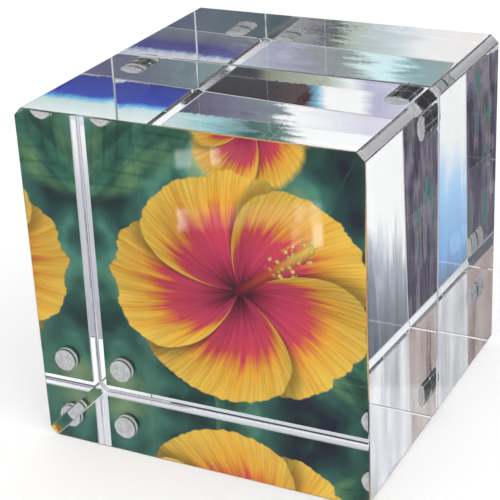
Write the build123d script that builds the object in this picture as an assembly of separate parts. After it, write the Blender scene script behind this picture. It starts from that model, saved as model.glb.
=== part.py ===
from build123d import *
import os

# Magnetic photo cube: two clear acrylic blocks with magnets in their corners clamp two photo prints
# back to back. The origin is the middle of the underside, +Z is up and the front face looks along -Y.

# Clear blocks, in millimetres
cube_width = 88.9
cube_height = 88.9
block_depth = 44.2
edge_bevel = 2.0  # flat bevel on the four edges that run from front to back
bevel_softening = 0.6  # polished radius where a bevel meets the walls
face_arris = 0.35  # fine break round the front, rear and inner faces

# Photo prints
photo_thickness = 0.25
photo_side_margin = 2.1  # clear strip left between a print and the side walls
photo_end_margin = 1.75  # the same at its top and bottom
photo_clearance = 0.05  # air film on each side of a print

# Magnets and the dots of adhesive that hold them
magnet_diameter = 6.35
magnet_length = 4.76
magnet_edge_radius = 0.3
magnet_inset = 8.6  # from the two nearest walls to the middle of a magnet
magnet_recess = 0.05  # below the inner face, so that no magnet rubs on a print
pocket_side_clearance = 0.1
adhesive_thickness = 0.2
adhesive_setback = 0.4  # from the pocket's wall to the rim of the adhesive

# Sizes that follow from the ones above
inner_face = photo_thickness + 1.5 * photo_clearance  # from the mid plane to a block
photo_width = cube_width - 2 * photo_side_margin
photo_height = cube_height - 2 * photo_end_margin
pocket_diameter = magnet_diameter + 2 * pocket_side_clearance
pocket_depth = magnet_recess + magnet_length + adhesive_thickness
adhesive_diameter = pocket_diameter - 2 * adhesive_setback
mid_height = cube_height / 2

# Directions from the middle of the cube
halves = {"front": -1, "rear": 1}
rows = {"top": 1, "bottom": -1}
columns = {"left": -1, "right": 1}


def plane_facing_out(half, distance, across=0, height=mid_height):
    """Plane at a distance from the mid plane whose normal points away from it, into that half."""
    return Plane(origin=(across, half * distance, height), x_dir=(1, 0, 0), z_dir=(0, half, 0))


def pocket_mouth(half, row, column):
    """Plane on the inner face, centred on one magnet and looking into the block."""
    across = column * (cube_width / 2 - magnet_inset)
    height = mid_height + row * (cube_height / 2 - magnet_inset)
    return plane_facing_out(half, inner_face, across, height)


def disc(mouth, depth, thickness, diameter):
    """Round disc inside a pocket that starts at a depth below the mouth."""
    return extrude(mouth.offset(depth) * Circle(diameter / 2), thickness)


def make_block(half):
    """Clear block with bevelled long edges, fine arrises and a blind pocket for each magnet."""
    outline = Rectangle(cube_width, cube_height)
    outline = chamfer(outline.vertices(), edge_bevel)
    outline = fillet(outline.vertices(), bevel_softening)
    block = extrude(plane_facing_out(half, inner_face) * outline, block_depth)
    block = chamfer(block.faces().filter_by(Axis.Y).edges(), face_arris)
    for row in rows.values():
        for column in columns.values():
            block -= disc(pocket_mouth(half, row, column), 0, pocket_depth, pocket_diameter)
    return block


def make_magnet(half, row, column):
    """Plated disc magnet with rounded rims, just below the inner face."""
    magnet = disc(pocket_mouth(half, row, column), magnet_recess, magnet_length, magnet_diameter)
    return fillet(magnet.edges().filter_by(GeomType.CIRCLE), magnet_edge_radius)


def make_adhesive(half, row, column):
    """Thin dot of adhesive between the bottom of a pocket and its magnet."""
    depth = magnet_recess + magnet_length
    return disc(pocket_mouth(half, row, column), depth, adhesive_thickness, adhesive_diameter)


def make_photo(half):
    """Photo print that lies against the inner face of its half, picture side outwards."""
    sheet = plane_facing_out(half, photo_clearance / 2) * Rectangle(photo_width, photo_height)
    return extrude(sheet, photo_thickness)


nodes = {}
for half_name, half in halves.items():
    nodes[f"{half_name}_block"] = make_block(half)
    nodes[f"{half_name}_photo"] = make_photo(half)
    for row_name, row in rows.items():
        for column_name, column in columns.items():
            corner = f"{row_name}_{column_name}"
            nodes[f"{half_name}_magnet_{corner}"] = make_magnet(half, row, column)
            nodes[f"{half_name}_adhesive_{corner}"] = make_adhesive(half, row, column)

os.makedirs("parts", exist_ok=True)
for name, solid in nodes.items():
    export_step(solid, f"parts/{name}.step")
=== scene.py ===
import logging
import math
from collections.abc import Callable, Iterator
from dataclasses import dataclass
from enum import Enum
from typing import NamedTuple

import bmesh
import bpy
from mathutils import Matrix, Vector


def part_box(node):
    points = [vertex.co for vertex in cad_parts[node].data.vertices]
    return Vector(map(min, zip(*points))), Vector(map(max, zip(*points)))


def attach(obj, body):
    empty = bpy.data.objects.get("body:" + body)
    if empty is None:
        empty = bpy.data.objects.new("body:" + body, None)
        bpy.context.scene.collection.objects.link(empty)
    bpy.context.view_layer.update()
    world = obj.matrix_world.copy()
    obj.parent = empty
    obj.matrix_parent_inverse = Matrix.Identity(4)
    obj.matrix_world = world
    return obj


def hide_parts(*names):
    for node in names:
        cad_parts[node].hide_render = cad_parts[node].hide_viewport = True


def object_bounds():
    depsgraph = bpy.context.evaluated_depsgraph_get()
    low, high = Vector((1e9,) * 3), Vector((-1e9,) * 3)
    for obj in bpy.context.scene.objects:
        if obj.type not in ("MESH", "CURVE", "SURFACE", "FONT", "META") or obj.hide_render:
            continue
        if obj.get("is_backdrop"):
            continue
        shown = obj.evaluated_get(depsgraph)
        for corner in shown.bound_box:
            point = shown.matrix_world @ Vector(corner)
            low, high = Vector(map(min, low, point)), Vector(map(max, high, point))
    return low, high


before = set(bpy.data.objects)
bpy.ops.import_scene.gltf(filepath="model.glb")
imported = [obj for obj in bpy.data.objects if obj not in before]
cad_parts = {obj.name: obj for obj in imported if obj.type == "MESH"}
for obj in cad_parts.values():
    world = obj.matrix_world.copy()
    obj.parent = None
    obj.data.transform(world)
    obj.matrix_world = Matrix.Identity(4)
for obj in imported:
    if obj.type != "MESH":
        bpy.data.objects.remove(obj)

# Dresses a magnetic photo cube: two clear acrylic blocks, disc magnets held by dots of adhesive, and two
# photo prints back to back between the blocks. Lengths are metres; MM turns millimetres into them.

MM = 0.001
# Where most and nearly all of a noise lies, on either side of its mean of a half
MOST_NOISE = (0.3, 0.7)
ALL_NOISE = (0.2, 0.8)
log = logging.getLogger("photo_cube")

Inputs = dict[int | str, object]
Stops = tuple[tuple[float, str], ...]


class Half(Enum):
    """The two halves of the cube."""

    FRONT = "front"
    REAR = "rear"

    @property
    def outward(self) -> int:
        """Sign of Y that points away from the split."""
        return -1 if self is Half.FRONT else 1


class Corner(Enum):
    """The four magnet places of a half, as seen from the front."""

    TOP_LEFT = "top_left"
    TOP_RIGHT = "top_right"
    BOTTOM_LEFT = "bottom_left"
    BOTTOM_RIGHT = "bottom_right"


def linear(colour: str) -> tuple[float, float, float, float]:
    """Turn an sRGB hex colour into linear light.

    Args:
        colour: Six hex digits after a hash sign.

    Returns:
        Linear red, green and blue, and an alpha of one.
    """
    channels = [int(colour[place : place + 2], 16) / 255 for place in (1, 3, 5)]
    red, green, blue = (c / 12.92 if c <= 0.04045 else ((c + 0.055) / 1.055) ** 2.4 for c in channels)
    return red, green, blue, 1.0


def add_node(
    tree: bpy.types.NodeTree, kind: str, inputs: Inputs | None = None, stops: Stops = (), **settings: object
) -> bpy.types.Node:
    """Add one shader node, set its properties and fill or link its inputs.

    Args:
        tree: Node tree that takes the node.
        kind: Blender's name for the node, without the ShaderNode in front.
        inputs: Input name or number to a plain value, a socket or a field to link.
        stops: Places and hex colours of a colour ramp.
        settings: Properties of the node.

    Returns:
        The new node.
    """
    node = tree.nodes.new("ShaderNode" + kind)
    for name, value in settings.items():
        setattr(node, name, value)
    for place, value in (inputs or {}).items():
        source = value.socket if isinstance(value, Field) else value
        if isinstance(source, bpy.types.NodeSocket):
            tree.links.new(source, node.inputs[place])
        else:
            node.inputs[place].default_value = source
    for number, (place, colour) in enumerate(stops):
        elements = node.color_ramp.elements
        stop = elements[number] if number < 2 else elements.new(place)
        stop.position = place
        stop.color = linear(colour)
    return node


@dataclass(frozen=True)
class Field:
    """A number that varies over a surface, with arithmetic done by shader nodes."""

    tree: bpy.types.NodeTree
    socket: bpy.types.NodeSocket

    def maths(self, operation: str, *others: "Field | float", first: float | None = None) -> "Field":
        """Apply one maths operation.

        Args:
            operation: Blender's name of the operation.
            others: Further operands.
            first: Plain number that comes before this field.

        Returns:
            The result as a field.
        """
        operands = [*([] if first is None else [first]), self, *others]
        node = add_node(self.tree, "Math", dict(enumerate(operands)), operation=operation)
        return Field(self.tree, node.outputs[0])

    def __add__(self, other: "Field | float") -> "Field":
        """Sum."""
        return self.maths("ADD", other)

    def __sub__(self, other: "Field | float") -> "Field":
        """Difference."""
        return self.maths("SUBTRACT", other)

    def __rsub__(self, other: float) -> "Field":
        """Difference from a plain number."""
        return self.maths("SUBTRACT", first=other)

    def __mul__(self, other: "Field | float") -> "Field":
        """Product."""
        return self.maths("MULTIPLY", other)

    def __truediv__(self, other: "Field | float") -> "Field":
        """Quotient."""
        return self.maths("DIVIDE", other)

    def __pow__(self, other: float) -> "Field":
        """Power."""
        return self.maths("POWER", other)

    def size(self) -> "Field":
        """Absolute value."""
        return self.maths("ABSOLUTE")

    def ramp(self, low: float, high: float, at_low: float = 0.0, at_high: float = 1.0) -> "Field":
        """Smooth step from one value at low to another at high.

        Args:
            low: Where the step starts.
            high: Where it ends.
            at_low: Value up to low.
            at_high: Value from high on.

        Returns:
            The stepped field.
        """
        inputs = {0: self, 1: low, 2: high, 3: at_low, 4: at_high}
        node = add_node(self.tree, "MapRange", inputs, interpolation_type="SMOOTHSTEP")
        return Field(self.tree, node.outputs[0])


def new_material(name: str) -> tuple[bpy.types.Material, bpy.types.NodeTree, bpy.types.Node]:
    """Start a node material with one principled shader.

    Args:
        name: Name of the material.

    Returns:
        The material, its node tree and its shader node.
    """
    material = bpy.data.materials.new(name)
    material.use_nodes = True
    tree = material.node_tree
    return material, tree, tree.nodes["Principled BSDF"]


def dress(piece: bpy.types.Object, material: bpy.types.Material) -> None:
    """Give a piece one material all over."""
    piece.data.materials.clear()
    piece.data.materials.append(material)


@dataclass(frozen=True)
class ClearAcrylic:
    """Cast acrylic, sawn and buffed: clear, with faint streaks that bend what is seen through it."""

    tint: str = "#feffff"
    refraction: float = 1.49
    streak_width: float = 1.2 * MM
    streak_length: float = 26 * MM
    streak_height: float = 0.0005 * MM
    smudge_size: float = 14 * MM
    smudged: tuple[float, float] = (0.55, 0.8)
    smudge_roughness: float = 0.01
    wall_turn: tuple[float, float] = (0.3, 0.9)

    def build(self) -> bpy.types.Material:
        """Make the material.

        Returns:
            The finished material.
        """
        material, tree, shader = new_material("buffed_cast_acrylic")
        spot = add_node(tree, "TexCoord")
        wide, fine = 1 / self.streak_length, 1 / self.streak_width
        facing = add_node(tree, "SeparateXYZ", {0: spot.outputs["Normal"]})
        streaks = []
        for stretch in ((wide, fine, wide), (fine, wide, wide)):
            run = add_node(tree, "Mapping", {"Vector": spot.outputs["Object"], "Scale": stretch})
            noise = add_node(tree, "TexNoise", {"Vector": run.outputs[0], "Scale": 1.0, "Detail": 1.0})
            streaks.append(Field(tree, noise.outputs[0]))
        side_wall = Field(tree, facing.outputs["X"]).size().ramp(*self.wall_turn)
        level_wall = Field(tree, facing.outputs["Z"]).size().ramp(*self.wall_turn)
        height = streaks[0] * side_wall + streaks[1] * level_wall
        buffed = add_node(tree, "Bump", {"Height": height, "Strength": 1.0, "Distance": self.streak_height})
        patches = {"Vector": spot.outputs["Object"], "Scale": 1 / self.smudge_size, "Detail": 4.0}
        smudge = add_node(tree, "TexNoise", patches)
        haze = Field(tree, smudge.outputs[0]).ramp(*self.smudged, 0.0, self.smudge_roughness)
        shader.inputs["Base Color"].default_value = linear(self.tint)
        shader.inputs["IOR"].default_value = self.refraction
        shader.inputs["Transmission Weight"].default_value = 1.0
        tree.links.new(haze.socket, shader.inputs["Roughness"])
        tree.links.new(buffed.outputs[0], shader.inputs["Normal"])
        return material


@dataclass(frozen=True)
class PlatedNickel:
    """Nickel plating on a sintered magnet: grey metal, satin, with a fine orange peel."""

    colour: str = "#8d8a87"
    peel_size: float = 0.5 * MM
    peel_height: float = 0.006 * MM
    roughness: tuple[float, float] = (0.08, 0.16)

    def build(self) -> bpy.types.Material:
        """Make the material.

        Returns:
            The finished material.
        """
        material, tree, shader = new_material("plated_nickel")
        spot = add_node(tree, "TexCoord")
        dimples = {"Vector": spot.outputs["Object"], "Scale": 1 / self.peel_size, "Detail": 3.0}
        noise = add_node(tree, "TexNoise", dimples)
        peel = Field(tree, noise.outputs[0])
        bump = add_node(tree, "Bump", {"Height": peel, "Strength": 1.0, "Distance": self.peel_height})
        shader.inputs["Base Color"].default_value = linear(self.colour)
        shader.inputs["Metallic"].default_value = 1.0
        tree.links.new(peel.ramp(*MOST_NOISE, *self.roughness).socket, shader.inputs["Roughness"])
        tree.links.new(bump.outputs[0], shader.inputs["Normal"])
        return material


@dataclass(frozen=True)
class CuredAdhesive:
    """Cured instant adhesive on a milled pocket floor: pale and cloudy, with the cutter's rings showing."""

    stops: Stops = ((0.2, "#a9a9ad"), (0.5, "#cdcdd0"), (0.85, "#ececee"))
    cloud_size: float = 1.6 * MM
    ring_spacing: float = 0.95 * MM
    ring_wander: float = 0.5
    cloud_share: float = 0.85
    ring_share: float = 0.4
    least_tone: float = 0.05
    roughness: tuple[float, float] = (0.5, 0.75)

    def build(self, reach: float, mid_height: float) -> bpy.types.Material:
        """Make the material.

        Args:
            reach: Distance of each dot's middle from the middle of the cube, across and up.
            mid_height: Height of the middle of the cube.

        Returns:
            The finished material.
        """
        material, tree, shader = new_material("cured_instant_adhesive")
        spot = add_node(tree, "TexCoord")
        clouds = {"Vector": spot.outputs["Object"], "Scale": 1 / self.cloud_size, "Detail": 4.0}
        noise = add_node(tree, "TexNoise", clouds)
        cloud = Field(tree, noise.outputs[0])
        place = add_node(tree, "SeparateXYZ", {0: spot.outputs["Object"]})
        across = Field(tree, place.outputs["X"]).size() - reach
        up = (Field(tree, place.outputs["Z"]) - mid_height).size() - reach
        from_middle = (across * across + up * up).maths("SQRT") / self.ring_spacing
        ring = ((from_middle + cloud * self.ring_wander).maths("FRACT") - 0.5).size()
        paleness = cloud * self.cloud_share + ring * self.ring_share + self.least_tone
        tone = add_node(tree, "ValToRGB", {0: paleness}, stops=self.stops)
        tree.links.new(tone.outputs[0], shader.inputs["Base Color"])
        tree.links.new(cloud.ramp(*ALL_NOISE, *self.roughness).socket, shader.inputs["Roughness"])
        return material


@dataclass
class Sheet:
    """A picture while it is painted: the places on it and its colours so far."""

    tree: bpy.types.NodeTree
    place: bpy.types.NodeSocket
    colour: bpy.types.NodeSocket | None = None

    def local(
        self, centre: tuple[float, float], angle: float, size: tuple[float, float]
    ) -> tuple[Field, Field]:
        """Places in a motif's own frame, where its size is one.

        Args:
            centre: Middle of the motif in millimetres from the middle of the print.
            angle: Degrees that the motif is turned to the left.
            size: Millimetres along and across.

        Returns:
            The place along and across the motif.
        """
        inputs = {
            "Vector": self.place,
            "Location": (*centre, 0.0),
            "Rotation": (0.0, 0.0, math.radians(angle)),
            "Scale": (*size, 1.0),
        }
        node = add_node(self.tree, "Mapping", inputs, vector_type="TEXTURE")
        split = add_node(self.tree, "SeparateXYZ", {0: node.outputs[0]})
        return Field(self.tree, split.outputs[0]), Field(self.tree, split.outputs[1])

    def noise(self, x: Field, y: Field, seed: Field | float, detail: float = 2.0) -> Field:
        """Soft noise with a mean of a half, about one blob per unit.

        Args:
            x: First place.
            y: Second place.
            seed: Third place, which tells one noise from another.
            detail: Levels of finer noise.

        Returns:
            The noise.
        """
        spot = add_node(self.tree, "CombineXYZ", {0: x, 1: y, 2: seed})
        node = add_node(self.tree, "TexNoise", {"Vector": spot.outputs[0], "Scale": 1.0, "Detail": detail})
        return Field(self.tree, node.outputs[0])

    def shaded(self, colour: bpy.types.NodeSocket, light: Field) -> bpy.types.NodeSocket:
        """A colour made lighter or darker.

        Args:
            colour: The colour.
            light: Factor on it.

        Returns:
            The shaded colour.
        """
        node = add_node(self.tree, "VectorMath", {0: colour, "Scale": light}, operation="SCALE")
        return node.outputs[0]

    def cover(self, colour: bpy.types.NodeSocket, mask: Field) -> None:
        """Paint a colour over the picture where the mask is one."""
        node = add_node(self.tree, "Mix", {0: mask, 6: self.colour, 7: colour}, data_type="RGBA")
        self.colour = node.outputs[2]


@dataclass(frozen=True)
class Foliage:
    """Background of a picture: shrubs far out of focus."""

    stops: Stops
    blob: float
    seed: float
    dapple: tuple[float, float] = (2.1, 1.3)
    light: tuple[float, float] = (0.7, 1.25)

    def paint(self, sheet: Sheet) -> None:
        """Paint the whole sheet.

        Args:
            sheet: The picture.
        """
        x, y = sheet.local((0.0, 0.0), 0.0, (self.blob, self.blob))
        cloud = sheet.noise(x, y, self.seed, 2.5)
        greens = add_node(sheet.tree, "ValToRGB", {0: cloud}, stops=self.stops)
        greens.color_ramp.interpolation = "EASE"
        wide, high = self.dapple
        dapple = sheet.noise(x * wide, y * high, self.seed + 5, 3.0)
        sheet.colour = sheet.shaded(greens.outputs[0], dapple.ramp(0.3, 0.75, *self.light))


@dataclass(frozen=True)
class Leaf:
    """A long pointed leaf with a midrib and side veins."""

    base: tuple[float, float]
    turn: float
    length: float
    width: float
    blur: float
    stops: Stops
    bow: float = 0.05
    vein_count: float = 11.0
    vein_slant: float = 1.1
    vein_light: float = 0.72
    rib_light: float = 1.45

    def paint(self, sheet: Sheet) -> None:
        """Paint the leaf over the picture.

        Args:
            sheet: The picture.
        """
        along, across = sheet.local(self.base, self.turn, (self.length, self.length))
        share = along.maths("MAXIMUM", 0.0).maths("MINIMUM", 1.0)
        across = across - ((share * 2.2).maths("SINE") * self.bow)
        half = ((share**0.8) * math.pi).maths("SINE") * (self.width / self.length / 2)
        from_rib = across.size()
        soft = self.blur / self.length
        mask = (half - from_rib).ramp(-soft, soft)
        veins = ((share - from_rib * self.vein_slant) * self.vein_count).maths("FRACT")
        ridge = (veins - 0.5).size().ramp(0.3, 0.5, 1.0, self.vein_light)
        rib = from_rib.ramp(0.004 + soft, 0.018 + soft, self.rib_light, 1.0)
        mottle = sheet.noise(along * 6.0, across * 9.0, self.turn, 3.0)
        tone = mottle + (from_rib / (half + 0.01)) * 0.25 - 0.1
        green = add_node(sheet.tree, "ValToRGB", {0: tone}, stops=self.stops)
        sheet.cover(sheet.shaded(green.outputs[0], ridge * rib), mask)


@dataclass(frozen=True)
class Bloom:
    """An open flower of broad petals, each lapping over the next, with a stamen column."""

    centre: tuple[float, float]
    radius: tuple[float, float]
    turn: float
    petals: int
    blur: float
    seed: float
    stops: Stops
    pollen: str
    overlap: float = 0.8
    fullness: float = 0.93
    ruffle: float = 0.16
    twist: float = 0.18
    lap_shadow: float = 0.45
    column_length: float = 0.62
    column_turn: float = 24.0
    column_radius: float = 0.055
    column_stops: Stops = ((0.0, "#6d1226"), (0.45, "#c94a35"), (1.0, "#f3c95c"))
    pollen_radius: float = 0.17
    grains: float = 16.0

    def paint(self, sheet: Sheet) -> None:
        """Paint the flower over the picture.

        Args:
            sheet: The picture.
        """
        x, y = sheet.local(self.centre, self.turn, self.radius)
        from_centre = (x * x + y * y).maths("SQRT")
        turned = y.maths("ARCTAN2", x) * (self.petals / math.tau) + self.petals
        turned = turned + from_centre * self.twist
        number = turned.maths("FLOOR")
        across = turned - number - 0.5
        lapping = self._reach(sheet, number - 1.0, across + 1.0)
        shadow = (from_centre - lapping).ramp(0.0, 0.3, self.lap_shadow, 1.0)
        self._petal(sheet, from_centre, number, across, shadow)
        self._petal(sheet, from_centre, number - 1.0, across + 1.0, None)
        self._column(sheet)

    def _reach(self, sheet: Sheet, number: Field, across: Field) -> Field:
        """How far a petal reaches from the centre at a place across it.

        Args:
            sheet: The picture.
            number: Which petal.
            across: Place across the petal, from its midrib.

        Returns:
            The reach, where one is the flower's radius.
        """
        lot = number.maths("MODULO", self.petals)
        ruffle = sheet.noise(across * 7.0, lot * 3.7, self.seed, 3.0) - 0.5
        full = 1.0 - (across.size() / self.overlap) ** 4.0
        return full.maths("MAXIMUM", 0.0).maths("SQRT") * self.fullness + ruffle * self.ruffle

    def _petal(
        self, sheet: Sheet, from_centre: Field, number: Field, across: Field, shadow: Field | None
    ) -> None:
        """Paint every petal of one layer.

        Args:
            sheet: The picture.
            from_centre: Distance from the middle of the flower.
            number: Which petal.
            across: Place across it.
            shadow: Light left by the petal that laps over it.
        """
        reach = self._reach(sheet, number, across)
        lot = number.maths("MODULO", self.petals)
        streak = sheet.noise(across * 16.0, from_centre * 1.6, lot * 5.3 + self.seed, 3.0)
        vein = sheet.noise(across * 60.0, from_centre * 2.5, lot * 2.1 + self.seed, 2.0)
        tone = from_centre / reach.maths("MAXIMUM", 0.25) + (streak - 0.5) * 0.5
        colour = add_node(sheet.tree, "ValToRGB", {0: tone}, stops=self.stops)
        fold = (across * 5.0 + from_centre * 2.0 + lot * 1.7).maths("SINE") * 0.12
        light = vein.ramp(*MOST_NOISE, 0.86, 1.14) + fold
        light = light - (across.size() / self.overlap) ** 3.0 * 0.2
        if shadow is not None:
            light = light * shadow
        soft = self.blur / self.radius[0]
        sheet.cover(sheet.shaded(colour.outputs[0], light), (reach - from_centre).ramp(-soft, soft))

    def _column(self, sheet: Sheet) -> None:
        """Paint the stamen column and its pollen.

        Args:
            sheet: The picture.
        """
        length = self.column_length * self.radius[0]
        along, across = sheet.local(self.centre, self.turn + self.column_turn, (length, length))
        inside = along.maths("MAXIMUM", 0.0).maths("MINIMUM", 1.0)
        gap = ((along - inside) ** 2.0 + across * across).maths("SQRT")
        soft = self.blur / length
        stalk = add_node(sheet.tree, "ValToRGB", {0: inside}, stops=self.column_stops)
        round_light = (across - 0.015).size().ramp(0.0, 0.07, 1.15, 0.6)
        column = (self.column_radius - gap).ramp(-soft, soft)
        sheet.cover(sheet.shaded(stalk.outputs[0], round_light), column)
        place = {0: along * self.grains, 1: across * self.grains, 2: self.seed}
        spot = add_node(sheet.tree, "CombineXYZ", place)
        grains = add_node(sheet.tree, "TexVoronoi", {"Vector": spot.outputs[0], "Scale": 1.0})
        ball = Field(sheet.tree, grains.outputs["Distance"])
        tip = (self.pollen_radius - gap).ramp(0.0, 0.05) * along.ramp(0.42, 0.55)
        pollen = add_node(sheet.tree, "RGB")
        pollen.outputs[0].default_value = linear(self.pollen)
        grain = ball.ramp(0.34 + soft, 0.46 + soft, 1.0, 0.0) * tip
        sheet.cover(sheet.shaded(pollen.outputs[0], ball.ramp(0.0, 0.45, 1.15, 0.6)), grain)


@dataclass(frozen=True)
class GlossPrint:
    """Resin-coated photo paper: a glossy picture on one side, white on its edges and back."""

    name: str
    half: Half
    motifs: tuple[Foliage | Leaf | Bloom, ...]
    paper: str = "#eeeeec"
    paper_light: tuple[float, float] = (0.94, 1.0)
    wave_size: float = 3.0 * MM
    roughness: tuple[float, float] = (0.28, 0.34)
    gloss: float = 0.2

    def build(self, mid_height: float) -> bpy.types.Material:
        """Make the material.

        Args:
            mid_height: Height of the middle of the print in metres.

        Returns:
            The finished material.
        """
        material, tree, shader = new_material(self.name)
        spot = add_node(tree, "TexCoord")
        per_mm = 1 / MM
        flat = add_node(
            tree,
            "Mapping",
            {
                "Vector": spot.outputs["Object"],
                "Location": (0.0, -mid_height * per_mm, 0.0),
                "Rotation": (-math.pi / 2, 0.0, 0.0),
                "Scale": (-self.half.outward * per_mm, per_mm, per_mm),
            },
        )
        sheet = Sheet(tree, flat.outputs[0])
        for motif in self.motifs:
            motif.paint(sheet)
        waves = {"Vector": spot.outputs["Object"], "Scale": 1 / self.wave_size, "Detail": 2.0}
        noise = add_node(tree, "TexNoise", waves)
        wave = Field(tree, noise.outputs[0])
        paper = add_node(tree, "RGB")
        paper.outputs[0].default_value = linear(self.paper)
        picture = sheet.colour
        sheet.colour = sheet.shaded(paper.outputs[0], wave.ramp(*ALL_NOISE, *self.paper_light))
        facing = add_node(tree, "SeparateXYZ", {0: spot.outputs["Normal"]})
        outward = Field(tree, facing.outputs["Y"]) * float(self.half.outward)
        sheet.cover(picture, outward.ramp(0.5, 0.6))
        tree.links.new(sheet.colour, shader.inputs["Base Color"])
        tree.links.new(wave.ramp(*ALL_NOISE, *self.roughness).socket, shader.inputs["Roughness"])
        shader.inputs["Specular IOR Level"].default_value = self.gloss
        return material


SUNSET_PETALS: Stops = (
    (0.04, "#4c1024"),
    (0.14, "#a02347"),
    (0.35, "#cd385e"),
    (0.56, "#dd4656"),
    (0.64, "#ec8436"),
    (0.74, "#fab638"),
    (1.0, "#ffd152"),
)
LEAF_GREENS: Stops = ((0.2, "#183a33"), (0.5, "#376c57"), (0.75, "#719f6c"), (0.95, "#a6c484"))
FRONT_PICTURE = (
    Foliage(
        (
            (0.32, "#1d2038"),
            (0.42, "#254543"),
            (0.5, "#36695e"),
            (0.58, "#52907c"),
            (0.66, "#82aa84"),
            (0.78, "#b0c698"),
        ),
        blob=21.0,
        seed=3.4,
    ),
    Leaf((-46.0, 12.0), 38.0, 62.0, 20.0, 2.2, LEAF_GREENS),
    Leaf((48.0, -40.0), 128.0, 64.0, 22.0, 1.4, LEAF_GREENS),
    Bloom((4.0, 37.0), (21.0, 17.0), 60.0, 5, 1.4, 8.0, SUNSET_PETALS, "#f2d25a"),
    Leaf((-8.0, -46.0), 62.0, 52.0, 17.0, 0.5, LEAF_GREENS),
    Bloom((-1.0, -8.0), (39.0, 34.0), 12.0, 5, 0.3, 2.0, SUNSET_PETALS, "#f6dc6c"),
)
LILAC_PETALS: Stops = (
    (0.05, "#3a1040"),
    (0.2, "#6d2a78"),
    (0.5, "#9a5cab"),
    (0.75, "#c59bd0"),
    (1.0, "#ecdcef"),
)
REAR_PICTURE = (
    Foliage(((0.3, "#1b2c45"), (0.5, "#2f5a5e"), (0.65, "#5d8f7c"), (0.8, "#a9c39a")), blob=30.0, seed=9.1),
    Leaf((40.0, 30.0), 205.0, 58.0, 20.0, 1.4, LEAF_GREENS),
    Leaf((-30.0, -48.0), 75.0, 60.0, 20.0, 0.6, LEAF_GREENS),
    Bloom((-24.0, 22.0), (19.0, 17.0), 100.0, 5, 1.0, 5.0, LILAC_PETALS, "#f2e08a"),
    Bloom((12.0, -9.0), (30.0, 27.0), 40.0, 5, 0.3, 6.0, LILAC_PETALS, "#f2e08a"),
)

# Least cosine between an edge and a direction that it runs in, and how near a plane counts as on it
PARALLEL = 0.99
TOUCHING = 0.01 * MM


def select_edges(piece: bpy.types.Object, wanted: Callable[[bmesh.types.BMEdge], bool]) -> None:
    """Select the edges of a piece in edit mode that pass a test, and nothing else.

    Args:
        piece: Piece in edit mode.
        wanted: Test of one edge.
    """
    bpy.ops.mesh.select_mode(type="EDGE")
    bpy.ops.mesh.select_all(action="DESELECT")
    mesh = bmesh.from_edit_mesh(piece.data)
    for edge in mesh.edges:
        if wanted(edge):
            edge.select_set(True)
    bmesh.update_edit_mesh(piece.data)


def runs_back(edge: bmesh.types.BMEdge) -> bool:
    """True if an edge runs from front to back."""
    return abs((edge.verts[0].co - edge.verts[1].co).normalized().y) > PARALLEL


def lies_at(edge: bmesh.types.BMEdge, depth: float) -> bool:
    """True if both ends of an edge lie at one depth."""
    return all(abs(vert.co.y - depth) < TOUCHING for vert in edge.verts)


def settle() -> None:
    """Put the selected piece's place, turn and size into its mesh."""
    bpy.ops.object.transform_apply(location=True, rotation=True, scale=True)


def apply_modifier(piece: bpy.types.Object, kind: str, **settings: object) -> None:
    """Add a modifier to the active piece and apply it.

    Args:
        piece: The active piece.
        kind: Blender's name of the modifier.
        settings: Properties of the modifier.
    """
    modifier = piece.modifiers.new(kind.lower(), kind)
    for name, value in settings.items():
        setattr(modifier, name, value)
    bpy.ops.object.modifier_apply(modifier=modifier.name)


@dataclass(frozen=True)
class Spill:
    """How far the adhesive of one half rose round its magnets, and the first of its uneven patterns."""

    collar_start: float
    collar_length: float
    first_pattern: int


SPILLS = {Half.FRONT: Spill(0.8 * MM, 1.5 * MM, 1), Half.REAR: Spill(0.3 * MM, 4.0 * MM, 11)}
COLLARED = (Corner.TOP_LEFT, Corner.BOTTOM_LEFT)
# Lobes round a rim, their share of the unevenness and how fast they shift from pattern to pattern
RIM_LOBES = ((7, 0.6, 1.0), (13, 0.4, 2.3))


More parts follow.
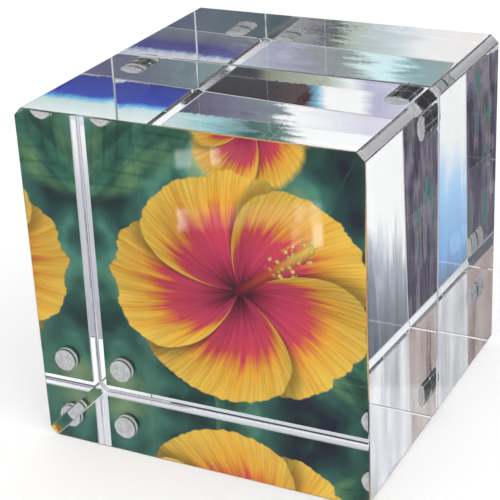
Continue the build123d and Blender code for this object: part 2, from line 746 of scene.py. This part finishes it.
@dataclass
class ClearHalf:
    """One half of the cube: its clear block, four magnets and four dots of adhesive."""

    half: Half
    acrylic: bpy.types.Material
    nickel: bpy.types.Material
    adhesive: bpy.types.Material
    spill: Spill
    edge_bevel: float = 2.0 * MM
    bevel_softening: float = 0.6 * MM
    face_arris: float = 0.35 * MM
    wetting: float = 0.01 * MM
    dot_spread: float = 0.2 * MM
    dot_unevenness: float = 0.09 * MM
    collar_film: float = 0.04 * MM
    collar_pattern: int = 5
    cutter_overrun: float = 1.0 * MM
    softening_steps: int = 6
    arris_steps: int = 3
    smooth_angle: float = 40.0
    pocket_sides: int = 64
    dot_sides: int = 40

    @property
    def body(self) -> str:
        """Name of the body that carries this half."""
        return f"{self.half.value}_half"

    def node(self, kind: str, corner: Corner | None = None) -> str:
        """Name of one of this half's solids."""
        return "_".join([self.half.value, kind, *([corner.value] if corner else [])])

    def build(self) -> Iterator[bpy.types.Object]:
        """Make and dress every piece of the half.

        Yields:
            Each piece.
        """
        yield self.build_block()
        for corner in Corner:
            yield self.dress_magnet(corner)
            yield self.build_dot(corner)

    def build_block(self) -> bpy.types.Object:
        """Model the clear block.

        Returns:
            The block.
        """
        low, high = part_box(self.node("block"))
        bpy.ops.object.select_all(action="DESELECT")
        bpy.ops.mesh.primitive_cube_add(size=1.0, location=(low + high) / 2, scale=high - low)
        block = bpy.context.object
        block.name = f"{self.half.value}_clear_block"
        settle()
        bpy.ops.object.mode_set(mode="EDIT")
        self._bevel_long_edges(block, self.edge_bevel, 1)
        # A wall and its bevel meet at 45 degrees, so a radius reaches this far along each
        reach = self.bevel_softening * math.tan(math.pi / 8)
        self._bevel_long_edges(block, reach, self.softening_steps)
        select_edges(block, lambda edge: lies_at(edge, low.y) or lies_at(edge, high.y))
        bpy.ops.mesh.bevel(
            offset=self.face_arris, segments=self.arris_steps, affect="EDGES", clamp_overlap=False
        )
        bpy.ops.object.mode_set(mode="OBJECT")
        for corner in Corner:
            self._bore_pocket(block, corner)
        bpy.ops.object.shade_smooth_by_angle(angle=math.radians(self.smooth_angle))
        apply_modifier(block, "WEIGHTED_NORMAL", keep_sharp=True, weight=100)
        dress(block, self.acrylic)
        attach(block, self.body)
        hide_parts(self.node("block"))
        return block

    def _bevel_long_edges(self, block: bpy.types.Object, offset: float, segments: int) -> None:
        """Bevel every edge that runs from front to back.

        Args:
            block: The block in edit mode.
            offset: Width of the cut along each wall.
            segments: Steps round the cut.
        """
        select_edges(block, runs_back)
        bpy.ops.mesh.bevel(offset=offset, segments=segments, affect="EDGES", clamp_overlap=False)

    def _bore_pocket(self, block: bpy.types.Object, corner: Corner) -> None:
        """Cut the blind pocket of one magnet, wetted by the adhesive so that the magnet's side shows.

        Args:
            block: The block.
            corner: Which pocket.
        """
        low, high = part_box(self.node("magnet", corner))
        dot_low, dot_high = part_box(self.node("adhesive", corner))
        floor = dot_low.y if self.half is Half.FRONT else dot_high.y
        mouth = -self.half.outward * self.cutter_overrun
        middle = (low + high) / 2
        middle.y = (floor + mouth) / 2
        radius = (high.x - low.x) / 2 - self.wetting
        cutter = self._add_round(middle, radius, abs(floor - mouth), self.pocket_sides)
        bpy.context.view_layer.objects.active = block
        apply_modifier(block, "BOOLEAN", operation="DIFFERENCE", solver="EXACT", object=cutter)
        bpy.data.objects.remove(cutter)
        block.select_set(True)

    def dress_magnet(self, corner: Corner) -> bpy.types.Object:
        """Plate one magnet.

        Args:
            corner: Which magnet.

        Returns:
            The magnet.
        """
        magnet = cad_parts[self.node("magnet", corner)]
        dress(magnet, self.nickel)
        return magnet

    def build_dot(self, corner: Corner) -> bpy.types.Object:
        """Model one dot of adhesive, uneven at its rim and wetting the floor of its pocket.

        Args:
            corner: Which dot.

        Returns:
            The dot.
        """
        low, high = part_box(self.node("adhesive", corner))
        pattern = self.spill.first_pattern + list(Corner).index(corner)
        middle = (low + high) / 2 + Vector((0.0, self.half.outward * self.wetting, 0.0))
        radius = (high.x - low.x) / 2 + self.dot_spread
        dot = self._add_round(middle, radius, high.y - low.y, self.dot_sides)
        dot.name = f"{self.half.value}_adhesive_dot_{corner.value}"
        self._unsettle(dot, middle, lambda arm: Vector((arm.x, 0.0, arm.z)).normalized(), pattern)
        if corner in COLLARED:
            self._add_collar(corner, pattern + self.collar_pattern)
            dot.select_set(True)
            bpy.context.view_layer.objects.active = dot
            bpy.ops.object.join()
        dress(dot, self.adhesive)
        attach(dot, self.body)
        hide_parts(self.node("adhesive", corner))
        return dot

    def _add_round(
        self, middle: Vector, radius: float, depth: float, sides: int, ends: str = "NGON"
    ) -> bpy.types.Object:
        """Add a round whose axis runs from front to back.

        Args:
            middle: Its middle.
            radius: Its radius.
            depth: Its length.
            sides: Facets round it.
            ends: How its ends are filled.

        Returns:
            The new piece, selected and active.
        """
        bpy.ops.object.select_all(action="DESELECT")
        bpy.ops.mesh.primitive_cylinder_add(
            vertices=sides,
            radius=radius,
            depth=depth,
            end_fill_type=ends,
            location=middle,
            rotation=(math.pi / 2, 0.0, 0.0),
        )
        piece = bpy.context.object
        settle()
        return piece

    def _add_collar(self, corner: Corner, pattern: int) -> None:
        """Add the thin film of adhesive that rose round the side of a magnet, and leave it selected.

        Args:
            corner: Which magnet.
            pattern: Which uneven pattern its two rims get.
        """
        low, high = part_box(self.node("magnet", corner))
        middle = (low + high) / 2
        end = low.y if self.half is Half.FRONT else high.y
        length = self.spill.collar_length
        middle.y = end - self.half.outward * (self.spill.collar_start + length / 2)
        collar = self._add_round(middle, (high.x - low.x) / 2, length, self.dot_sides, "NOTHING")
        apply_modifier(collar, "SOLIDIFY", thickness=self.collar_film, offset=1.0, use_even_offset=True)
        self._unsettle(collar, middle, lambda arm: Vector((0.0, math.copysign(1.0, arm.y), 0.0)), pattern)

    def _unsettle(
        self, piece: bpy.types.Object, middle: Vector, way: Callable[[Vector], Vector], pattern: int
    ) -> None:
        """Push the rims of a round in and out in a few uneven lobes.

        Args:
            piece: The active round.
            middle: Its middle.
            way: Gives the direction to push in from the arm that reaches from the middle.
            pattern: Which uneven pattern.
        """
        bpy.ops.object.mode_set(mode="EDIT")
        mesh = bmesh.from_edit_mesh(piece.data)
        for vert in mesh.verts:
            arm = vert.co - middle
            angle = math.atan2(arm.z, arm.x)
            lobes = sum(part * math.sin(count * angle + shift * pattern) for count, part, shift in RIM_LOBES)
            vert.co += way(arm) * lobes * self.dot_unevenness
        bmesh.update_edit_mesh(piece.data)
        bpy.ops.object.mode_set(mode="OBJECT")


class Gauge(Enum):
    """A measure of a direction that bounds a card or that its colour changes along."""

    TURN = "degrees round the cube, from +X to the left"
    RISE = "degrees above the level"
    SLOPE = "reach to the front or the back for each unit of rise or fall"
    LEAN = "reach to a side for each unit of rise or fall"
    STREAK = "upright streaks"


EDGE_SOFTNESS = {Gauge.TURN: 0.1, Gauge.RISE: 0.15, Gauge.SLOPE: 0.004, Gauge.LEAN: 0.001}


class Bound(NamedTuple):
    """Limits of a card along one gauge."""

    gauge: Gauge
    low: float
    high: float

    @property
    def span(self) -> tuple[float, float]:
        """Both limits."""
        return self.low, self.high


@dataclass(frozen=True)
class Card:
    """A studio card with soft edges and a colour that changes along one gauge."""

    bounds: tuple[Bound, ...]
    along: Gauge
    span: tuple[float, float]
    stops: Stops
    jitter: float = 0.08

    def mask(self, gauges: dict[Gauge, Field]) -> Field | None:
        """How far a direction lies on the card.

        Args:
            gauges: Measures of the direction.

        Returns:
            One on the card and nought off it, or None for a card without bounds.
        """
        inside = None
        for gauge, low, high in self.bounds:
            soft = EDGE_SOFTNESS[gauge]
            field = gauges[gauge]
            part = field.ramp(low - soft, low + soft) * field.ramp(high - soft, high + soft, 1.0, 0.0)
            inside = part if inside is None else inside * part
        return inside


def turn(low: float, high: float) -> Bound:
    """Limits at two angles round the cube."""
    return Bound(Gauge.TURN, low, high)


def rise(low: float, high: float) -> Bound:
    """Limits at two angles above the level."""
    return Bound(Gauge.RISE, low, high)


def slope(low: float, high: float) -> Bound:
    """Limits at two slopes."""
    return Bound(Gauge.SLOPE, low, high)


def streaky(stops: Stops, *bounds: Bound) -> Card:
    """Card of upright streaks."""
    return Card(bounds, Gauge.STREAK, STREAKS, stops)


def fading(stops: Stops, along: Bound, *bounds: Bound, jitter: float = 0.08) -> Card:
    """Card that changes colour from one of its limits to the other."""
    return Card((along, *bounds), along.gauge, along.span, stops, jitter)


# Share of the streaks' noise that a streaky card's colours cover
STREAKS = (0.25, 0.75)
# Stretches that several cards fill
DOWN = rise(-60.0, -3.0)
RAIL_FOOT = 0.9865
RAIL_TOP = 1.022
BELOW = Bound(Gauge.LEAN, -1.0, RAIL_FOOT)
BETWEEN = Bound(Gauge.LEAN, RAIL_FOOT, RAIL_TOP)
ABOVE = Bound(Gauge.LEAN, RAIL_TOP, 99.0)
LOW_FRONT = slope(1.0, 2.37)
LOW_BACK = slope(1.2, 2.34)
NEAR_FRONT = slope(2.375, 2.578)
NEAR_BACK = slope(2.578, 2.765)
FAR_FRONT = slope(2.765, 2.955)
FAR_BACK = slope(2.955, 3.3)
# Colours of cards, from dark to pale
BLACK: Stops = ((0.0, "#08080b"), (1.0, "#1f1d24"))
NIGHT: Stops = ((0.0, "#222326"), (1.0, "#191a1c"))
DUSK: Stops = ((0.0, "#3a3c42"), (1.0, "#26282c"))
SLATE: Stops = ((0.0, "#5d6066"), (1.0, "#82858b"))
STORM: Stops = ((0.0, "#5d6478"), (1.0, "#868c98"))
SMOKE: Stops = ((0.0, "#8a8d93"), (1.0, "#b0b3b8"))
ASH: Stops = ((0.0, "#b9b8c0"), (1.0, "#cdccd2"))
MIST: Stops = ((0.0, "#c3c4ca"), (1.0, "#d0d1d6"))
HOAR: Stops = ((0.0, "#f2f3f4"), (0.35, "#f2f3f4"), (0.5, "#d2d3d8"), (1.0, "#d2d3d8"))
WHITE: Stops = ((0.0, "#f4f5f6"), (1.0, "#ffffff"))
PALE: Stops = ((0.0, "#c3c9cf"), (0.3, "#d6dbe0"), (0.5, "#b4bac2"), (0.75, "#dfe2e6"), (1.0, "#ffffff"))
# Colours of cards with bands
LILAC: Stops = ((0.17, "#4a4b52"), (0.21, "#a19fa8"), (0.5, "#bcbac3"), (0.8, "#bfbec6"), (1.0, "#e6e6ea"))
SILVER: Stops = (
    (0.06, "#ffffff"),
    (0.12, "#3c3b40"),
    (0.18, "#ffffff"),
    (0.26, "#c4c2c5"),
    (0.7, "#908e90"),
    (0.76, "#4d4b4e"),
    (0.82, "#ffffff"),
)
BAR: Stops = (
    (0.2, "#ffffff"),
    (0.23, "#4a4950"),
    (0.3, "#34333a"),
    (0.34, "#c9cacd"),
    (0.44, "#8a8b90"),
    (0.48, "#5a5960"),
    (0.51, "#ffffff"),
    (0.82, "#f0f1f2"),
    (0.9, "#84858c"),
)
VEIL = "#6a6570"
UPPER_GLARE: Stops = (
    (0.0, "#9b95a1"),
    (0.05, "#e8e4ea"),
    (0.2, "#cfcad4"),
    (0.24, VEIL),
    (0.46, VEIL),
    (0.49, "#ffffff"),
    (0.6, "#b9b4bf"),
    (0.63, VEIL),
    (1.0, "#3c3a40"),
)
LOWER_GLARE: Stops = (
    (0.0, "#8a8490"),
    (0.02, "#f0edf2"),
    (0.06, "#c9c4ce"),
    (0.09, VEIL),
    (0.8, VEIL),
    (0.84, "#c9c4ce"),
    (0.9, "#77727d"),
    (0.95, "#c9c4ce"),
    (1.0, "#8a8490"),
)
SIDE_GLARE: Stops = (
    (0.0, "#b0abb6"),
    (0.35, "#55525a"),
    (0.6, "#77727d"),
    (0.75, "#ffffff"),
    (1.0, "#f0edf2"),
)
SEEN_THROUGH = (
    # Pale all round, dusky just above the level and black a little below it on both sides
    Card((), Gauge.RISE, (-80, 80), PALE),
    fading(DUSK, rise(3, 30), turn(-132, -44)),
    fading(DUSK, rise(3, 30), turn(44, 132)),
    streaky(BLACK, turn(63, 80), rise(-29, -14)),
    streaky(BLACK, turn(-80, -66), rise(-29, -14)),
    # Greys that the clear strips beside the prints show, each with a darker seam
    streaky(SLATE, turn(80, 121.6), LOW_BACK, DOWN),
    streaky(SMOKE, turn(128, 152), DOWN),
    Card((turn(122, 127.6), LOW_BACK, DOWN), Gauge.RISE, (-30, -20), ASH),
    Card((turn(48, 62), LOW_BACK, DOWN), Gauge.RISE, (-30, -20), LILAC),
    streaky(SLATE, turn(15, 41), rise(-29, -18)),
    streaky(SLATE, turn(-37, -10), rise(-29, -18)),
    streaky(SLATE, turn(30, 38), rise(26, 36)),
    streaky(SLATE, turn(-37, -10), rise(26, 36)),
    streaky(BLACK, turn(40, 46), rise(40, 50)),
    streaky(DUSK, turn(80, 121.6), rise(-32.4, -29.6)),
    Card((turn(112, 124.5), rise(29.3, 36)), Gauge.TURN, (112, 124), MIST),
    Card((turn(48, 62), rise(26.5, 36)), Gauge.RISE, (27, 33), HOAR),
    Card((turn(-128, -116.5), rise(3, 16)), Gauge.TURN, (-128, -117), WHITE),
    Card((turn(120.5, 124), rise(8, 11.5)), Gauge.TURN, (120, 124), WHITE),
    # Greys beside the prints' reflections in the walls, and banded bars at the foot
    streaky(BLACK, turn(-65, 0), rise(45, 75)),
    streaky(SLATE, turn(-135, -113), LOW_FRONT, DOWN),
    streaky(SLATE, turn(-140, -113), rise(17, 40)),
    streaky(SLATE, turn(-66, -40), LOW_FRONT, DOWN),
    streaky(SLATE, turn(-66, -40), rise(17, 40)),
    streaky(BLACK, turn(105, 140), rise(-55, -38)),
    fading(STORM, rise(-52, -30), turn(-62, -35)),
    Card((turn(-92, -66), rise(-38, -25)), Gauge.RISE, (-37, -25), BAR),
    Card((turn(66, 92), rise(-38, -25)), Gauge.RISE, (-37, -25), BAR),
    # Blue card at the front right with a pale one below it
    Card(
        (turn(-66, -48), NEAR_FRONT, DOWN),
        Gauge.SLOPE,
        (2.36, 2.6),
        ((0.0, "#ffffff"), (0.42, "#cfe4e4"), (0.48, "#62b8e8"), (0.54, "#1a36ac"), (1.0, "#0f157b")),
        jitter=0.05,
    ),
    fading(
        (
            (0.0, "#c4d2d4"),
            (0.2, "#ecdfe6"),
            (0.34, "#b4c6d4"),
            (0.42, "#4b488e"),
            (0.6, "#474482"),
            (0.72, "#656a80"),
            (1.0, "#717a7c"),
        ),
        FAR_FRONT,
        turn(-66, -52),
        DOWN,
        jitter=0.15,
    ),
    # Dusky card at the back right
    Card(
        (turn(48, 64), NEAR_BACK, DOWN),
        Gauge.TURN,
        (54, 62),
        ((0.0, "#4b4780"), (0.5, "#5d6076"), (1.0, "#7b9790")),
        jitter=0.25,
    ),
    Card(
        (turn(54, 66), FAR_BACK, DOWN),
        Gauge.TURN,
        (58, 64),
        ((0.0, "#4a4678"), (0.5, "#5f6c76"), (1.0, "#43575a")),
        jitter=0.4,
    ),
    # White card at the front left, teal and violet beside it
    Card(
        (turn(-124, -109), slope(2.375, 2.47), DOWN, ABOVE),
        Gauge.TURN,
        (-121, -113),
        ((0.0, "#cfe2e0"), (0.25, "#93c4c8"), (0.45, "#3d5f5b"), (0.6, "#5f7f7a"), (0.68, "#ffffff")),
        jitter=0.3,
    ),
    Card(
        (turn(-124, -109), slope(2.47, 2.578), DOWN, ABOVE),
        Gauge.TURN,
        (-121, -113),
        ((0.0, "#39324e"), (0.3, "#66607a"), (0.58, "#7d8a92"), (0.64, "#ffffff"), (1.0, "#e2e0ee")),
        jitter=0.3,
    ),
    Card(
        (turn(-122, -106), FAR_FRONT, DOWN, ABOVE),
        Gauge.TURN,
        (-119, -108),
        (
            (0.12, "#b4bec8"),
            (0.3, "#a6a3bb"),
            (0.4, "#92979a"),
            (0.5, "#98a29f"),
            (0.58, "#e4fcff"),
            (0.66, "#dcfcff"),
            (0.74, "#8fb0b4"),
            (0.86, "#9daaa8"),
            (1.0, "#d0ccd2"),
        ),
        jitter=0.35,
    ),
    # Dark brown card at the back left, with olive above it and lavender beside it
    Card(
        (turn(106, 121), slope(2.578, 2.7), DOWN, ABOVE),
        Gauge.TURN,
        (111, 119),
        (
            (0.0, "#d6d6ea"),
            (0.18, "#c0bcd8"),
            (0.25, "#ffffff"),
            (0.42, "#ffffff"),
            (0.47, "#6fb4d0"),
            (0.52, "#4a2a28"),
            (0.7, "#241a1c"),
            (1.0, "#171318"),
        ),
        jitter=0.1,
    ),
    Card(
        (turn(106, 121), slope(2.7, 2.765), DOWN, ABOVE),
        Gauge.TURN,
        (111, 119),
        (
            (0.0, "#d6d6ea"),
            (0.22, "#c6c2da"),
            (0.3, "#f4fafa"),
            (0.42, "#b4baa8"),
            (0.7, "#8a9078"),
            (0.78, "#241c1d"),
        ),
        jitter=0.06,
    ),
    Card(
        (turn(104, 122), FAR_BACK, DOWN, ABOVE),
        Gauge.TURN,
        (108, 119),
        (
            (0.1, "#fffaf8"),
            (0.22, "#ffffff"),
            (0.34, "#d6e2ea"),
            (0.48, "#bccabd"),
            (0.56, "#5a5860"),
            (0.62, "#8b8a90"),
            (0.7, "#a5a5a6"),
            (0.85, "#6a6a6c"),
        ),
        jitter=0.35,
    ),
    # Grey and blue cards at the left, white at their tops, and a dark streaky one behind them
    Card(
        (turn(-112.9, -110.7), rise(-30, -14), BELOW),
        Gauge.RISE,
        (-29, -21),
        ((0.0, "#5f656f"), (0.3, "#8d939d"), (0.5, "#b9bec8"), (0.64, "#ffffff")),
        jitter=0.7,
    ),
    Card(
        (turn(-110.7, -106), rise(-30, -14), BELOW),
        Gauge.RISE,
        (-27, -19),
        ((0.08, "#7a879c"), (0.3, "#8fbcec"), (0.6, "#b4dcff"), (0.8, "#ffffff")),
        jitter=0.4,
    ),
    streaky(
        (
            (0.0, "#2c2834"),
            (0.22, "#5a5168"),
            (0.36, "#3a3640"),
            (0.46, "#6f6680"),
            (0.54, "#8a8088"),
            (0.62, "#4c4852"),
            (0.7, "#4a807c"),
            (0.8, "#75605c"),
            (1.0, "#c0b8c4"),
        ),
        turn(106, 112.2),
        rise(-30, -14),
        BELOW,
    ),
    # Silver rail where the upper and the lower cards meet
    fading(SILVER, BETWEEN, turn(106, 115), DOWN, jitter=0.03),
    fading(SILVER, BETWEEN, turn(-113.2, -106), DOWN, jitter=0.03),
    # Grey card above at the front left and a beige one at the back left
    streaky(((0.0, "#a8aab2"), (0.5, "#d8d9dd"), (1.0, "#ffffff")), turn(-112.9, -103), rise(22, 36)),
    streaky(
        ((0.0, "#231b1c"), (0.2, "#6f605c"), (0.4, "#b0a09b"), (1.0, "#d5cac6")),
        turn(103, 112),
        rise(22, 36),
    ),
)
MIRRORED = (
    # Dim all round, with lit strips that have a few bright patches
    Card((), Gauge.RISE, (-60, 60), NIGHT),
    fading(UPPER_GLARE, turn(-120.7, -117.6), rise(-21.4, -20.75)),
    fading(LOWER_GLARE, turn(-120.8, -114.7), rise(-23.8, -23.0)),
    fading(SIDE_GLARE, turn(-116.0, -114.7), rise(-24.7, -23.8)),
)


@dataclass(frozen=True)
class Surroundings:
    """Studio cards round the cube, as streaky as the buffed acrylic shows them."""

    cards: tuple[Card, ...]
    strength: float
    upright_streaks: tuple[float, float] = (5.0, 0.25)
    level_streaks: tuple[float, float] = (0.5, 55.0)
    least_fall: float = 0.1

    def paint(self, tree: bpy.types.NodeTree) -> bpy.types.Node:
        """Paint every card in order.

        Args:
            tree: Node tree of the world.

        Returns:
            A background of the cards' colours.
        """
        spot = add_node(tree, "TexCoord")
        way = add_node(tree, "SeparateXYZ", {0: spot.outputs["Generated"]})
        x, y, z = (Field(tree, way.outputs[axis]) for axis in range(3))
        sheet = Sheet(tree, spot.outputs["Generated"])
        round_cube = y.maths("ARCTAN2", x) * math.degrees(1.0)
        above = z.maths("ARCSINE") * math.degrees(1.0)
        fall = z.size().maths("MAXIMUM", self.least_fall)
        steepness = y.size() / fall
        per_turn, per_rise = self.upright_streaks
        upright = sheet.noise(round_cube * per_turn, above * per_rise, 1.0, 3.0)
        per_turn, per_slope = self.level_streaks
        level = sheet.noise(round_cube * per_turn, steepness * per_slope, 4.0, 3.0)
        gauges = {
            Gauge.TURN: round_cube,
            Gauge.RISE: above,
            Gauge.SLOPE: steepness,
            Gauge.LEAN: x.size() / fall,
            Gauge.STREAK: upright,
        }
        for card in self.cards:
            low, high = card.span
            streak = level if card.along is Gauge.TURN else upright
            share = (gauges[card.along] - low) / (high - low) + (streak - 0.5) * card.jitter
            ramp = add_node(tree, "ValToRGB", {0: share}, stops=card.stops)
            mask = card.mask(gauges)
            if mask is None:
                sheet.colour = ramp.outputs[0]
            else:
                sheet.cover(ramp.outputs[0], mask)
        return add_node(tree, "Background", {"Color": sheet.colour, "Strength": self.strength})


@dataclass
class Studio:
    """Pale floor, white surroundings, one soft lamp and the camera."""

    floor_drop: float = 0.2 * MM
    floor_width: float = 8.0
    floor_tones: Stops = ((0.2, "#f7f7f7"), (0.8, "#fafafa"))
    floor_blobs_per_metre: float = 3.0
    floor_roughness: float = 0.9
    wall_loss: float = 0.3
    glare: float = 7.0
    lamp_place: tuple[float, float, float] = (0.75, -0.35, 0.95)
    lamp_width: float = 0.9
    lamp_watts: float = 4.0
    eye: tuple[float, float, float] = (158.0 * MM, -313.6 * MM, 202.0 * MM)
    azimuth: float = 27.79
    elevation: float = 24.71
    roll: float = -2.9
    lens: float = 107.75
    near_clip: float = 10 * MM

    def build(self) -> None:
        """Set up the floor, the light and the camera."""
        self.lay_floor()
        self.light_world()
        self.hang_lamp()
        self.place_camera()

    def lay_floor(self) -> None:
        """Lay a plain pale floor just below the cube."""
        bpy.ops.object.select_all(action="DESELECT")
        bpy.ops.mesh.primitive_plane_add(size=self.floor_width, location=(0.0, 0.0, -self.floor_drop))
        floor = bpy.context.object
        floor.name = "studio_floor"
        material, tree, shader = new_material("matt_white_floor")
        spot = add_node(tree, "TexCoord")
        mottle = {"Vector": spot.outputs["Object"], "Scale": self.floor_blobs_per_metre, "Detail": 2.0}
        noise = add_node(tree, "TexNoise", mottle)
        pale = add_node(tree, "ValToRGB", {0: noise.outputs[0]}, stops=self.floor_tones)
        tree.links.new(pale.outputs[0], shader.inputs["Base Color"])
        shader.inputs["Roughness"].default_value = self.floor_roughness
        shader.inputs["Specular IOR Level"].default_value = 0.0
        dress(floor, material)
        floor.visible_transmission = False
        floor.visible_glossy = False
        floor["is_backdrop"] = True

    def light_world(self) -> None:
        """White surroundings that light evenly, and cards that only the clear pieces bend and mirror."""
        world = bpy.data.worlds.new("white_surroundings")
        bpy.context.scene.world = world
        world.use_nodes = True
        world.cycles.sampling_method = "NONE"
        tree = world.node_tree
        path = add_node(tree, "LightPath")
        # One until the path has met a matt surface
        direct = Field(tree, path.outputs["Diffuse Depth"]).ramp(0.4, 0.6, 1.0, 0.0)
        plain = tree.nodes["Background"]
        plain.inputs["Color"].default_value = (1.0, 1.0, 1.0, 1.0)
        through = Field(tree, path.outputs["Is Transmission Ray"])
        tree.links.new((through * self.wall_loss + 1.0).socket, plain.inputs["Strength"])
        surroundings = plain.outputs[0]
        layers = {
            "Is Transmission Ray": Surroundings(SEEN_THROUGH, 1.0 + self.wall_loss),
            "Is Reflection Ray": Surroundings(MIRRORED, self.glare),
        }
        for kind, cards in layers.items():
            share = Field(tree, path.outputs[kind]) * direct
            painted = cards.paint(tree)
            mix = add_node(tree, "MixShader", {0: share, 1: surroundings, 2: painted.outputs[0]})
            surroundings = mix.outputs[0]
        tree.links.new(surroundings, tree.nodes["World Output"].inputs["Surface"])

    def hang_lamp(self) -> None:
        """Hang one square softbox that points at the cube."""
        data = bpy.data.lights.new("key_softbox", "AREA")
        data.size = self.lamp_width
        data.energy = self.lamp_watts
        lamp = bpy.data.objects.new("key_softbox", data)
        lamp.location = self.lamp_place
        lamp.rotation_euler = (-Vector(self.lamp_place)).to_track_quat("-Z", "Y").to_euler()
        lamp.visible_camera = False
        lamp.visible_transmission = False
        bpy.context.scene.collection.objects.link(lamp)

    def place_camera(self) -> None:
        """Stand the camera where the photograph was taken from."""
        data = bpy.data.cameras.new("photo_camera")
        data.lens = self.lens
        data.clip_start = self.near_clip
        camera = bpy.data.objects.new("photo_camera", data)
        azimuth = math.radians(self.azimuth)
        elevation = math.radians(self.elevation)
        reach = math.cos(elevation)
        back = Vector((math.sin(azimuth) * reach, -math.cos(azimuth) * reach, math.sin(elevation)))
        level = Vector((math.cos(azimuth), math.sin(azimuth), 0.0))
        roll = Matrix.Rotation(math.radians(self.roll), 3, back)
        right = roll @ level
        up = back.cross(right)
        camera.matrix_world = Matrix.Translation(self.eye) @ Matrix((right, up, back)).transposed().to_4x4()
        bpy.context.scene.collection.objects.link(camera)
        bpy.context.scene.camera = camera


def set_light_paths() -> None:
    """Let light pass through both blocks and bounce inside them often enough."""
    cycles = bpy.context.scene.cycles
    cycles.max_bounces = 40
    cycles.transmission_bounces = 40
    cycles.glossy_bounces = 24
    bpy.context.scene.view_settings.view_transform = "Standard"


def main() -> None:
    """Build the cube and its studio in order."""
    logging.basicConfig(level=logging.INFO, format="%(name)s: %(message)s")
    low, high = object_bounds()
    acrylic = ClearAcrylic().build()
    nickel = PlatedNickel().build()
    dot_low, dot_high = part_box("front_adhesive_top_right")
    adhesive = CuredAdhesive().build((dot_low + dot_high).x / 2, (low + high).z / 2)
    for half in Half:
        for piece in ClearHalf(half, acrylic, nickel, adhesive, SPILLS[half]).build():
            log.info("%s dressed in %s", piece.name, piece.data.materials[0].name)
    pictures = {Half.FRONT: FRONT_PICTURE, Half.REAR: REAR_PICTURE}
    for half, motifs in pictures.items():
        sheet_low, sheet_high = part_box(f"{half.value}_photo")
        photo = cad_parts[f"{half.value}_photo"]
        finish = GlossPrint(f"{half.value}_gloss_print", half, motifs)
        dress(photo, finish.build((sheet_low + sheet_high).z / 2))
        log.info("%s dressed in %s", photo.name, photo.data.materials[0].name)
    Studio().build()
    set_light_paths()


if __name__ == "__main__":
    main()
